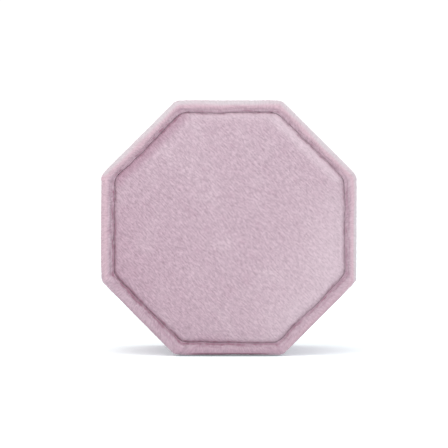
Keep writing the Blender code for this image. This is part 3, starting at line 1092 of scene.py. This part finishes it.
def cushion_bar(place, spare_low, spare_high):
    """A padded velvet bar of the ring cushion, blown up by cloth simulation.

    It is kept off its foam, and within its CAD solid and half of the slots beside it.
    """
    node, foam_node = "pad_velvet_" + place, "pad_foam_" + place
    low_corner, high_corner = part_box(node)
    low, high = low_corner.z - AXIS_Z, high_corner.z - AXIS_Z
    apothem, bottom, top = measured(node)[1:]
    ring = banded(octagon_ring(apothem - BAR_INSET, INNER_CORNER), low, high)
    bar = block(ring, bottom, top - BAR_SINK, BAR_BEVEL)
    points, faces = inflated(bar, lambda p: p[:, 2] < bottom + BAR_GLUED)
    for _ in range(2):
        points = kept_off(points, foam_node, BAR_VELVET + COARSE_ROOM)
    reach = octagon_norm(points[:, 0], points[:, 1])
    tight = np.minimum(1.0, (apothem + CLEAR) / np.maximum(reach, 1e-9))
    points[:, 0] *= tight
    points[:, 1] = np.clip(points[:, 1] * tight, low - spare_low, high + spare_high)
    points[:, 2] = np.clip(points[:, 2], bottom, top + BAR_RISE)
    foot = bottom + BAR_FOOT
    faces = [face for face in faces if max(points[corner, 2] for corner in face) > foot]
    down_side = np.maximum(top - points[:, 2] - 0.6 * MM, 0.0)
    v = points[:, 1] + down_side * np.sign(points[:, 1] - (low + high) / 2)
    cloth = np.stack([points[:, 0], v], axis=-1)
    piece = add_mesh("ring_cushion_" + place, points, faces, cloth)
    subdivide = piece.modifiers.new("finer", "SUBSURF")
    subdivide.levels = subdivide.render_levels = 1
    subdivide.subdivision_type = "CATMULL_CLARK"
    bake_modifiers(piece)
    points = from_world(vectors(piece.data.vertices, "co"))
    points = to_world(kept_off(points, foam_node, BAR_VELVET + FINE_ROOM))
    piece.data.vertices.foreach_set("co", points.ravel())
    add_pile(piece, BAR_LAY, 0.04 * MM)
    thicken = piece.modifiers.new("cloth_thickness", "SOLIDIFY")
    thicken.thickness = BAR_VELVET
    thicken.offset = -1.0
    bake_modifiers(piece)
    return piece


def bake_modifiers(piece):
    """Keeps the mesh that the modifiers make, without them and without loose points."""
    mesh = evaluated_mesh(piece)
    piece.modifiers.clear()
    bm = bmesh.new()
    bm.from_mesh(mesh)
    loose = [vertex for vertex in bm.verts if not vertex.link_faces]
    bmesh.ops.delete(bm, geom=loose, context="VERTS")
    bm.to_mesh(mesh)
    bm.free()
    mesh.shade_smooth()
    piece.data = mesh


def add_pile(piece, lay, depth):
    """Raises tufts of pile along the normals of a piece."""
    mesh = piece.data
    cloth = vectors(mesh.attributes["cloth"].data, "vector")[:, :2] * MM
    tufts = pile(cloth, lay, 1.3 * MM, 0.45 * MM, 21)
    raised = vectors(mesh.vertex_normals, "vector") * (depth * tufts)[:, None]
    mesh.vertices.foreach_set("co", (vectors(mesh.vertices, "co") + raised).ravel())
    mesh.update()


for place, spare_low, spare_high in (
    ("lower", 0.0, BAR_SPARE), ("middle", BAR_SPARE, BAR_SPARE), ("upper", BAR_SPARE, 0.0)
):
    bar = cushion_bar(place, spare_low, spare_high)
    dress(bar, inner_velvet, "inner_velvet", "base", "pad_velvet_" + place)


# ----------------------------------------------------------------- carried-over CAD nodes

CARRIED = {
    "lid_shell": plastic, "base_shell": plastic, "collar_ring": plastic,
    "top_panel_board": board, "bottom_panel_board": board, "ceiling_board": board,
    "pad_carrier_board": board, "top_panel_foam": foam, "ceiling_foam": foam,
    "pad_riser_foam": foam, "pad_foam_lower": foam, "pad_foam_middle": foam,
    "pad_foam_upper": foam,
}
for node, material in CARRIED.items():
    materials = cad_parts[node].data.materials
    materials.clear()
    materials.append(material)


# ---------------------------------------------------------------- floor, light and camera


def add_floor():
    """White paper under the box, with a faint glow that keeps it white behind the box."""
    ways = [(-1, -1), (1, -1), (1, 1), (-1, 1)]
    corners = [(x * FLOOR_SIZE, y * FLOOR_SIZE, -FLOOR_GAP) for x, y in ways]
    mesh = bpy.data.meshes.new("floor")
    mesh.from_pydata(corners, [], [(0, 1, 2, 3)])
    n = Nodes(bpy.data.materials.new("floor_paper"))
    mottle = n.noise(n.solid(), 40.0, detail=3.0)
    n.set(Base_Color=n.mix(mottle, colour(0.90, 0.93, 0.93), colour(0.92, 0.95, 0.95)))
    n.set(Roughness=1.0, Specular_IOR_Level=0.0)
    n.set(Emission_Color=colour(0.9, 1.09, 1.1), Emission_Strength=0.18)
    mesh.materials.append(n.owner)
    add_object("floor", mesh)


def add_world(left, right):
    """Soft light from everywhere, with one tint on the left and another on the right."""
    n = Nodes(bpy.data.worlds.new("studio"), "Background")
    across = n.add("SeparateXYZ", {0: n.add("TexCoord", {})})
    n.set(Color=n.mix(n.add("MapRange", {"Value": across, "From Min": -1.0}), left, right))
    bpy.context.scene.world = n.owner


def add_softbox(name, place, size, watts, tint):
    """A round soft light that is aimed at the middle of the box."""
    lamp = bpy.data.lights.new(name, "AREA")
    lamp.shape = "DISK"
    lamp.size = size
    lamp.energy = watts
    lamp.color = tint
    softbox = add_object(name, lamp)
    softbox.location = place
    aim = Vector((AXIS_X, 0, AXIS_Z)) - Vector(place)
    softbox.rotation_euler = aim.to_track_quat("-Z", "Y").to_euler()


def add_camera():
    """A long lens, level and square on to the lid, a little left of and above its middle."""
    camera_data = bpy.data.cameras.new("camera")
    camera_data.lens = CAMERA_LENS
    camera = add_object("camera", camera_data)
    camera.location = (AXIS_X + CAMERA_SHIFT[0], CAMERA_Y, AXIS_Z + CAMERA_SHIFT[1])
    camera.rotation_euler = (radians(90), 0, 0)
    bpy.context.scene.camera = camera


add_floor()
add_world(colour(1.0, 0.99, 0.98), colour(1.18, 1.22, 1.25))
add_softbox("key", (-0.07, -0.24, 0.31), size=0.34, watts=0.55, tint=(1.0, 0.99, 0.97))
add_camera()
bpy.context.scene.view_settings.view_transform = "Standard"
